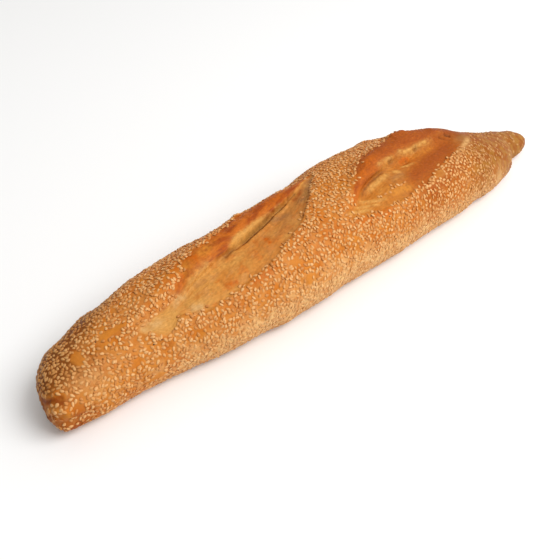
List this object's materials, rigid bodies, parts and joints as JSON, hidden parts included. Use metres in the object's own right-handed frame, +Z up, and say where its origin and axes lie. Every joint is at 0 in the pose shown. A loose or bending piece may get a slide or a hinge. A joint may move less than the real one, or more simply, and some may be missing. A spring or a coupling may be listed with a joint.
{
  "type": "batard loaf",
  "caption": "Whole crusted batard, a long hearth loaf with a flat base, one blunt end, one tapered end and slanting scores opened along its top.",
  "frame": {"origin": "on the table under the middle of the loaf's box", "axes": "+X along the loaf towards its tapered end, +Y across it towards the raised ears of the scores, +Z up"},
  "size_m": [0.443, 0.09, 0.0615],
  "materials": {
    "crust": null,
    "sesame": null
  },
  "bodies": {
    "root": {"loaf": "crust"}
  },
  "joints": []
}
